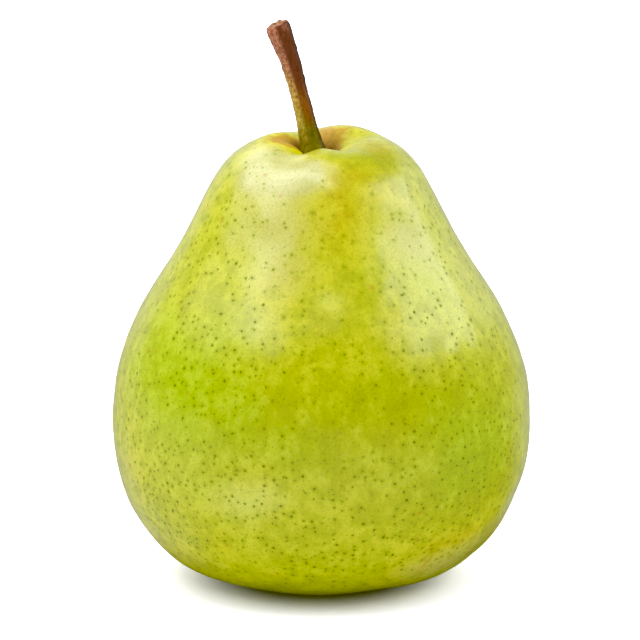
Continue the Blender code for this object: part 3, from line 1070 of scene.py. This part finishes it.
def bark_finish(look):
    """Stem bark: green near the fruit, orange-brown above it and red-brown at the end.

    A speckled pale streak of painted highlight runs up its left side, painted shade darkens its
    right side and its foot, the broken end is bare wood, and fine fibres and small warts roughen it.
    """
    bark = Finish("pear_stem_bark")
    fibres = bark.noise(0.5 * MM, 3.0, 1.0, (1.0, 1.0, 0.16), 0.6)
    scurf = bark.noise(0.45 * MM, 3.0, 2.0, (1.0, 1.0, 0.6), 0.7)
    blotch = bark.noise(2.2 * MM, 2.0, 3.0, (1.0, 1.0, 0.45))
    flecks = bark.noise(0.8 * MM, 3.0, 4.0, (1.0, 1.0, 0.7), 0.7)
    left, front, up = bark.layer("left"), bark.layer("front"), bark.layer("rise")
    rise = up + blotch * 0.22 - left * 0.07 - 0.11
    colour = bark.mixed(bark.step(rise, 0.30, 0.50), look.foot, look.middle)
    colour = bark.mixed(bark.step(rise, 0.50, 0.72), colour, look.top)
    colour = bark.mixed(bark.step(fibres, 0.45, 0.75, 0.0, 0.45), colour, look.groove_and_painted_shade)
    # Painted highlight: a speckled pale streak up the stem's left side, which faces the soft lights.
    streak = bark.step(left + front * 0.20, 0.18, 0.60) * bark.step(scurf, 0.28, 0.66)
    streak = streak * bark.step(rise, 0.12, 0.34, 0.25, 1.0)
    painted_highlight_colour = bark.mixed(bark.step(rise, 0.42, 0.8), look.painted_highlight_low, look.painted_highlight_and_warts_high)
    colour = bark.mixed(streak, colour, painted_highlight_colour)
    # Painted shade darkens the stem's right side.
    colour = bark.mixed(bark.step(left, -0.60, -0.95, 0.0, 0.75), colour, look.groove_and_painted_shade)
    warts = bark.step(up, 0.92, 1.0, 0.0, 0.35) * bark.step(flecks, 0.48, 0.60)
    colour = bark.mixed(warts, colour, look.painted_highlight_and_warts_high)
    colour = bark.mixed(bark.step(flecks, 0.50, 0.36, 0.0, 0.5), colour, look.shade, "MULTIPLY")
    wood = bark.mixed(bark.step(flecks, 0.38, 0.56), look.wood_dark, look.wood)
    colour = bark.mixed(bark.step(bark.layer("torn"), 0.10, 0.45), colour, wood)
    # Painted shade at the foot, where the stem goes down into the cavity.
    colour = bark.mixed(bark.step(up, 0.17, 0.10), colour, look.shade, "MULTIPLY")
    normal = bark.bumped(fibres, 0.12 * MM)
    normal = bark.bumped(scurf, 0.08 * MM, normal)
    normal = bark.bumped(flecks, 0.12 * MM, normal)
    return bark.done(colour, scurf * 0.25 + 0.34, Normal=normal, Specular_IOR_Level=0.12)


def dry_finish(name, dark, pale, size):
    """Withered tissue: dull brown fibres with paler dry edges and a rough, papery face."""
    dry = Finish(name)
    fibres = dry.noise(size, 4.0, 1.0, roughness=0.65)
    dust = dry.noise(size * 4.0, 2.0, 2.0)
    colour = dry.mixed(dry.step(fibres * 0.8 + dust * 0.7 - 0.35, 0.15, 0.75), dark, pale)
    normal = dry.bumped(fibres, size * 0.5)
    roughness = dry.step(fibres, 0.3, 0.7, 0.95, 0.72)
    return dry.done(colour, roughness, Normal=normal, Specular_IOR_Level=0.3)


# ---- The studio ----------------------------------------------------------------------------------


def bearing(azimuth, elevation):
    """The way towards an azimuth, from the front round to the right, and an elevation."""
    azimuth, elevation = math.radians(azimuth), math.radians(elevation)
    level = math.cos(elevation)
    return Vector((math.sin(azimuth) * level, -math.cos(azimuth) * level, math.sin(elevation)))


# Soft lights: azimuth and elevation of their middle, width and height as seen from the fruit, all
# in degrees, brightness, and how far it is turned about its middle, which lifts its right side.
SOFTBOXES = {
    "right_front": (58, 36, 20, 34, 0.5, 0),
    "right": (92, 36.5, 48, 21, 3.05, -20.9),
    "right_back": (128, 23, 22, 22, 0.8, 0),
    "left_front": (-50, 47.5, 32, 16, 1.8, 0),
    "left": (-90, 38, 34, 20, 1.05, 0),
    "left_back": (-150, 37, 34, 18, 1.1, 0),
    "high_left": (-85, 58, 48, 26, 2.4, 0),
    "high_front": (-38, 73, 50, 12, 4.4, 0),
    "high_back": (-132, 52, 40, 22, 1.4, 0),
    "overhead": (-60, 84, 30, 24, 2.3, 0),
}
SOFTBOX_DISTANCE = 0.6
SOFTBOX_AIM = (0.0, 0.0, 0.045)

# The world, as brightness against the share of the way from one side of it to the other: the even
# light comes from behind, and the gloss sees a dark room with a pale back.
FILL_STOPS = ((0.0, 0.42), (0.45, 0.34), (0.6, 0.65), (0.9, 2.0))
FILL_TOWARDS = (0.0, 1.0, 0.0)
GLOSS_STOPS = ((0.0, 0.0), (0.76, 0.02), (0.85, 0.36), (0.88, 0.50), (1.0, 0.62))
GLOSS_TOWARDS = (-0.06, 0.998, 0.0)
WHITE = (1.0, 1.0, 1.0)
WHITE_STRENGTH = 1.2

# The floor. A pair of lengths says where a change starts and ends, from the place it goes round.
FLOOR_HALF_SIDE = 4.0
FLOOR_LINES = 13
FLOOR_DROP = 0.1 * MM
SHADOW_CENTRE = (-0.4 * MM, -8.0 * MM, 0.0)  # the shadow is darkest round here
SHADOW_TINT = (16 * MM, 36 * MM)
SHADOW_EDGE = (13 * MM, 31 * MM)
FAR_EDGE = (0.12, 0.6)
GLOW_COLOUR = (1.0, 1.0, 1.15)
LEFT_TOWARDS = (-0.82, 0.57, 0.0)
LEFT_EDGE = (28 * MM, 42 * MM)
BEHIND_TOWARDS = (0.0, 1.0, 0.0)
BEHIND_EDGE = (30 * MM, 60 * MM)
BEHIND_SHIFT = (0.0, 10 * MM, 0.0)
FAR_IN_GLOSS = (0.45, 0.45, 0.42)
REFLECTED_PATCH_PLACE = (-39 * MM, -67 * MM, 0.0)  # where the gloss shows a pale patch of painted reflection on the floor
REFLECTED_PATCH_EDGE = (27 * MM, 8 * MM)
REFLECTED_PATCH_COLOUR = (1.7, 1.7, 1.6)


def softbox(name, azimuth, elevation, wide, high, brightness, turned_by, light):
    """A rectangular light that faces the fruit, with the radiance that its brightness gives."""
    data = bpy.data.lights.new(name, "AREA")
    data.shape = "RECTANGLE"
    data.size, data.size_y = (
        2.0 * SOFTBOX_DISTANCE * math.tan(math.radians(part / 2)) for part in (wide, high)
    )
    data.energy = light * brightness * math.pi * data.size * data.size_y
    lamp = bpy.data.objects.new(name, data)
    lamp.visible_camera = False
    towards = bearing(azimuth, elevation)
    lamp.location = Vector(SOFTBOX_AIM) + towards * SOFTBOX_DISTANCE
    lamp.rotation_mode = "QUATERNION"
    turned_about = Quaternion((0.0, 0.0, 1.0), math.radians(turned_by))
    lamp.rotation_quaternion = towards.to_track_quat("Z", "Y") @ turned_about
    bpy.context.scene.collection.objects.link(lamp)


def graded(sky, towards, stops):
    """A grey that depends on how far the way looked in goes towards a direction, by its stops."""
    share = sky.vector("DOT_PRODUCT", sky.place, towards) * 0.5 + 0.5
    ramp = sky.node("ShaderNodeValToRGB", {"Fac": share})
    for _ in range(len(stops) - 2):
        ramp.color_ramp.elements.new(0.5)
    for element, (at, brightness) in zip(ramp.color_ramp.elements, stops):
        element.position, element.color = at, (brightness, brightness, brightness, 1.0)
    return Value(sky, ramp.outputs["Color"])


def backdrop(look):
    """The world: white behind the fruit, an even fill on it, and a dark front for its gloss."""
    world = bpy.data.worlds.new("studio_white")
    bpy.context.scene.world = world
    world.use_nodes = True
    world.node_tree.nodes.clear()
    sky = Nodes(world.node_tree, "Generated")
    background = "ShaderNodeBackground"
    fill = sky.light(background, graded(sky, FILL_TOWARDS, FILL_STOPS), look.fill)
    gloss = sky.light(background, graded(sky, GLOSS_TOWARDS, GLOSS_STOPS))
    white = sky.light(background, WHITE, WHITE_STRENGTH)
    shown = sky.one_of(sky.made("ShaderNodeLightPath", result="Is Glossy Ray"), fill, gloss)
    shown = sky.one_of(sky.made("ShaderNodeLightPath", result="Is Camera Ray"), shown, white)
    sky.node("ShaderNodeOutputWorld", {"Surface": shown})


def floor_in_gloss(floor, look):
    """What the fruit's gloss shows of the floor: dark in front, lighter behind and at the left.

    A pale patch of painted reflection, seen only in the gloss, glows in front of the fruit's left
    side.
    """
    away = floor.vector("LENGTH", floor.place)
    left = floor.vector("DOT_PRODUCT", floor.vector("NORMALIZE", floor.place), LEFT_TOWARDS)
    left = floor.step(left, 0.1, 0.5) * floor.step(away, *LEFT_EDGE)
    behind = floor.vector("NORMALIZE", floor.vector("ADD", floor.place, BEHIND_SHIFT))
    behind = floor.vector("DOT_PRODUCT", behind, BEHIND_TOWARDS)
    behind = floor.step(behind, 0.32, 0.64) * floor.step(away, *BEHIND_EDGE)
    colour = floor.mixed(floor.maths("MAXIMUM", left, behind), look.floor_in_gloss, FAR_IN_GLOSS)
    # Painted reflection: a pale glowing patch that only the gloss sees.
    off = floor.vector("LENGTH", floor.vector("SUBTRACT", floor.place, REFLECTED_PATCH_PLACE))
    reflected_patch = floor.step(off, *REFLECTED_PATCH_EDGE, 0.0, 0.8)
    return floor.light("ShaderNodeEmission", floor.mixed(reflected_patch, colour, REFLECTED_PATCH_COLOUR))


def floor_finish(look):
    """A pale matt floor, dim in the fruit's gloss and clear from below, tinted with painted bounce
    light under the fruit and glowing of its own away from it, which leaves a painted shadow round it.
    """
    floor = Finish("studio_floor")
    off = floor.vector("LENGTH", floor.vector("SUBTRACT", floor.place, SHADOW_CENTRE))
    # Painted bounce light: the floor under the fruit is tinted yellow-green.
    colour = floor.mixed(floor.step(off, *SHADOW_TINT), look.floor_painted_bounce, look.floor)
    colour = floor.mixed(floor.noise(3 * MM) * 0.03, colour, (0.5, 0.5, 0.5))
    floor.done(colour, 0.9, Specular_IOR_Level=0.0)

    seen = floor.made("ShaderNodeLightPath", result="Is Camera Ray")
    # The floor glows of its own, less near the fruit, which leaves a painted shadow there.
    near = floor.step(off, *SHADOW_EDGE, 0.0, look.floor_glow) * (seen * 0.35 + 0.65)
    far = floor.step(floor.vector("LENGTH", floor.place), *FAR_EDGE, 0.0, 1.2) * seen
    glow = floor.light("ShaderNodeEmission", GLOW_COLOUR, near + far)
    matt = Value(floor, floor.shader.outputs[0])
    lit = floor.made("ShaderNodeAddShader", enumerate((matt, glow)))

    in_gloss = floor.made("ShaderNodeLightPath", result="Is Glossy Ray")
    shown = floor.one_of(in_gloss, lit, floor_in_gloss(floor, look))
    below = floor.made("ShaderNodeNewGeometry", result="Backfacing")
    shown = floor.one_of(below, shown, floor.made("ShaderNodeBsdfTransparent"))
    floor.put(floor.tree.nodes["Material Output"].inputs["Surface"], shown)
    return floor.material


def add_floor(look):
    """A level square, just under the flats that the fruit stands on."""
    side = np.linspace(-FLOOR_HALF_SIDE, FLOOR_HALF_SIDE, FLOOR_LINES)
    x, y = np.meshgrid(side, side)
    points = np.stack([x, y, np.full_like(x, -FLOOR_DROP)], axis=-1).reshape(-1, 3)
    floor = add_mesh("studio_floor", points, grid_faces(FLOOR_LINES, FLOOR_LINES, False))
    floor.data.materials.append(floor_finish(look))


def add_camera(look):
    """The camera, looking down a little from the front at a place just over the fruit's middle."""
    back = bearing(0.0, look.camera_elevation)
    up = bearing(180.0, 90.0 - look.camera_elevation)
    camera = bpy.data.objects.new("studio_camera", bpy.data.cameras.new("studio_camera"))
    camera.data.lens = look.camera_lens
    camera.data.sensor_width = 36.0
    camera.data.clip_start, camera.data.clip_end = 0.01, 20.0
    middle = Vector((0.0, 0.0, look.camera_height))
    camera.location = middle + back * look.camera_distance
    aim = middle + up * look.camera_rise + Vector((-look.camera_aside, 0.0, 0.0))
    camera.rotation_mode = "QUATERNION"
    camera.rotation_quaternion = (camera.location - aim).to_track_quat("Z", "Y")
    bpy.context.scene.collection.objects.link(camera)
    bpy.context.scene.camera = camera


# ---- Settings ------------------------------------------------------------------------------------


def tint(name, description, colour):
    """A colour setting."""
    return FloatVectorProperty(
        name=name, description=description, subtype="COLOR", size=3, min=0.0, max=1.0, default=colour
    )


def measure(name, description, size):
    """A length setting, in metres."""
    return FloatProperty(
        name=name, description=description, unit="LENGTH", min=0.0, precision=5, default=size
    )


def amount(name, description, value, most=1.0):
    """A plain number setting."""
    return FloatProperty(name=name, description=description, min=0.0, max=most, default=value)


class PearSkinSettings(bpy.types.PropertyGroup):
    """Colours and sizes of the skin's pattern."""

    green: tint("Green", "The greenest patches", (0.335, 0.48, 0.001))
    middle: tint("Yellow green", "Most of the skin", (0.426, 0.459, 0.002))
    gold: tint("Gold", "The ripest patches", (0.50, 0.42, 0.002))
    pale_green: tint("Pale green", "Between the green mottles", (0.455, 0.553, 0.022))
    pale_gold: tint("Pale gold", "Between the ripe mottles", (0.568, 0.54, 0.012))
    deep: tint("Deep", "What the darkest mottles keep of the skin's light", (0.84, 0.84, 0.75))
    # Bloom is partly wax and partly painted highlight.
    bloom_and_painted_highlight: tint("Bloom", "Where wax makes the skin pale", (0.49, 0.48, 0.12))
    grain: tint("Grain", "What the finest grain keeps of the skin's light", (0.88, 0.88, 0.80))
    halo: tint("Halo", "Round each lenticel", (0.36, 0.43, 0.001))
    dot: tint("Lenticel", "The corky points", (0.128, 0.152, 0.001))
    # Painted shade for the skin against the stem and deep in the cavity.
    painted_crevice_shade: tint("Crevice", "What the skin against the stem keeps of its light", (0.30, 0.22, 0.12))
    speck: tint("Speck", "Scattered brown specks", (0.38, 0.26, 0.003))
    russet: tint("Russet", "Russet skin", (0.56, 0.275, 0.055))
    russet_dark: tint("Dark russet", "Between the threads of russet", (0.38, 0.20, 0.012))
    russet_gold: tint("Gold russet", "Russet on ripe skin", (0.45, 0.25, 0.003))
    dot_spacing: measure("Lenticel spacing", "Between neighbouring lenticels", 1.8 * MM)
    dot_size: measure("Lenticel size", "Across the largest lenticel", 0.46 * MM)
    dot_share: amount("Lenticel share", "How many of the places have a lenticel", 0.52)
    dimple_depth: measure("Dimple depth", "How deep the dimples in the skin are", 0.08 * MM)
    roughness: amount("Roughness", "How dull the skin is", 0.40)


class PearStemSettings(bpy.types.PropertyGroup):
    """Colours of the stem."""

    foot: tint("Foot", "Green bark near the fruit", (0.20, 0.172, 0.013))
    middle: tint("Middle", "Orange-brown bark half way up", (0.26, 0.085, 0.022))
    top: tint("Top", "Red-brown bark at the end", (0.145, 0.033, 0.024))
    # Real dark grooves between the fibres, and also the painted shade on the stem's right side.
    groove_and_painted_shade: tint("Groove", "Between the fibres", (0.06, 0.018, 0.016))
    shade: tint("Shade", "What the hollows of the bark keep of its light", (0.50, 0.45, 0.40))
    # The pale streak is painted highlight; the high colour also tints the real warts at the end.
    painted_highlight_low: tint("Low scurf", "Pale streak near the fruit", (0.58, 0.43, 0.09))
    painted_highlight_and_warts_high: tint("High scurf", "Pale streak near the end", (0.50, 0.205, 0.12))
    wood: tint("Wood", "The broken end", (0.42, 0.20, 0.12))
    wood_dark: tint("Dark wood", "Cracks in the broken end", (0.16, 0.065, 0.025))


class PearCalyxSettings(bpy.types.PropertyGroup):
    """Colours of the dried calyx."""

    sepal_dark: tint("Dark sepal", "Hollows of the dried sepals", (0.045, 0.022, 0.009))
    sepal_pale: tint("Pale sepal", "Dry edges of the sepals", (0.24, 0.15, 0.065))
    stamen_dark: tint("Dark stamen", "Hollows of the withered stamens", (0.018, 0.010, 0.005))
    stamen_pale: tint("Pale stamen", "Dry ends of the stamens", (0.13, 0.075, 0.03))


class PearStageSettings(bpy.types.PropertyGroup):
    """The floor, the lights and the camera."""

    floor: tint("Floor", "The floor's colour", (0.84, 0.84, 0.90))
    # Painted yellow-green bounce light on the floor under the fruit.
    floor_painted_bounce: tint("Floor under it", "The floor's colour under the fruit", (0.86, 0.85, 0.78))
    floor_glow: amount("Floor glow", "Light that the floor adds of its own", 0.5, 10.0)
    floor_in_gloss: tint("Floor in gloss", "The near floor in reflections", (0.11, 0.11, 0.010))
    light: amount("Light", "Brightness of the soft lights", 1.0, 50.0)
    fill: amount("Fill", "Brightness of the even light", 1.06, 10.0)
    black_level: tint("Black level", "Colour that is shown as black", (0.0, 0.0, 0.022))
    camera_elevation: FloatProperty(
        name="Elevation", description="How far the camera looks down, in degrees", default=11.0
    )
    camera_distance: measure("Distance", "From the camera to the fruit", 0.55)
    camera_height: measure("Height", "Of the place that the camera turns about", 0.044)
    camera_rise: measure("Rise", "How far over that place the camera looks", 4.593 * MM)
    camera_aside: measure("Aside", "How far to its left the camera looks", 0.287 * MM)
    camera_lens: FloatProperty(name="Lens", description="Focal length in mm", default=161.65)


# ---- Operators -----------------------------------------------------------------------------------


def place_piece(piece, material, node):
    """Gives a piece its finish and its body, and hides the CAD node that it stands for."""
    piece.data.materials.append(material)
    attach(piece, "root")
    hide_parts(node)


class PEAR_OT_fruit(bpy.types.Operator):
    """Grow the fruit with its skin"""

    bl_idname = "pear.fruit"
    bl_label = "Fruit"

    def execute(self, context):
        finish = skin_finish(context.scene.pear_skin)
        place_piece(make_fruit(), finish, "fruit_body")
        return {"FINISHED"}


class PEAR_OT_stem(bpy.types.Operator):
    """Grow the stem with its bark and broken end"""

    bl_idname = "pear.stem"
    bl_label = "Stem"

    def execute(self, context):
        finish = bark_finish(context.scene.pear_stem)
        place_piece(make_stem(), finish, "stem")
        return {"FINISHED"}


class PEAR_OT_sepals(bpy.types.Operator):
    """Add the five dried sepals in the basin"""

    bl_idname = "pear.sepals"
    bl_label = "Dried sepals"

    def execute(self, context):
        look = context.scene.pear_calyx
        finish = dry_finish("dried_sepal", look.sepal_dark, look.sepal_pale, 0.45 * MM)
        for number in range(1, SEPALS + 1):
            place_piece(make_sepal(number), finish, f"sepal_{number}")
        return {"FINISHED"}


class PEAR_OT_stamens(bpy.types.Operator):
    """Add the ring of withered stamens inside the sepals"""

    bl_idname = "pear.stamens"
    bl_label = "Withered stamens"

    def execute(self, context):
        look = context.scene.pear_calyx
        finish = dry_finish("withered_stamen", look.stamen_dark, look.stamen_pale, 0.3 * MM)
        place_piece(make_stamens(), finish, "stamen_tuft")
        return {"FINISHED"}


class PEAR_OT_stage(bpy.types.Operator):
    """Set up the floor, the lights and the camera"""

    bl_idname = "pear.stage"
    bl_label = "Stage"

    def execute(self, context):
        look = context.scene.pear_stage
        view = context.scene.view_settings
        view.view_transform = "Standard"
        view.use_curve_mapping = True
        view.curve_mapping.black_level = look.black_level
        backdrop(look)
        add_floor(look)
        for name, box in SOFTBOXES.items():
            softbox(f"{name}_softbox", *box, look.light)
        add_camera(look)
        return {"FINISHED"}


class PEAR_PT_panel(bpy.types.Panel):
    """The pear's settings and the buttons that make it"""

    bl_idname = "PEAR_PT_panel"
    bl_label = "Winter Pear"
    bl_space_type = "VIEW_3D"
    bl_region_type = "UI"
    bl_category = "Pear"

    def draw(self, context):
        for operator, settings in MAKING_ORDER:
            box = self.layout.box()
            box.operator(operator.bl_idname)
            if settings:
                group = getattr(context.scene, settings)
                for name in group.__annotations__:
                    box.prop(group, name)


MAKING_ORDER = (
    (PEAR_OT_fruit, "pear_skin"),
    (PEAR_OT_stem, "pear_stem"),
    (PEAR_OT_sepals, "pear_calyx"),
    (PEAR_OT_stamens, None),
    (PEAR_OT_stage, "pear_stage"),
)
SETTINGS = {
    "pear_skin": PearSkinSettings,
    "pear_stem": PearStemSettings,
    "pear_calyx": PearCalyxSettings,
    "pear_stage": PearStageSettings,
}
CLASSES = (*SETTINGS.values(), *(operator for operator, _ in MAKING_ORDER), PEAR_PT_panel)


def register():
    for kind in CLASSES:
        bpy.utils.register_class(kind)
    for name, kind in SETTINGS.items():
        setattr(bpy.types.Scene, name, PointerProperty(type=kind))


def unregister():
    for name in SETTINGS:
        delattr(bpy.types.Scene, name)
    for kind in reversed(CLASSES):
        bpy.utils.unregister_class(kind)


def main():
    """Makes every piece and the stage."""
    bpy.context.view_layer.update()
    register()
    bpy.ops.pear.fruit()
    bpy.ops.pear.stem()
    bpy.ops.pear.sepals()
    bpy.ops.pear.stamens()
    bpy.ops.pear.stage()


if __name__ == "__main__":
    main()
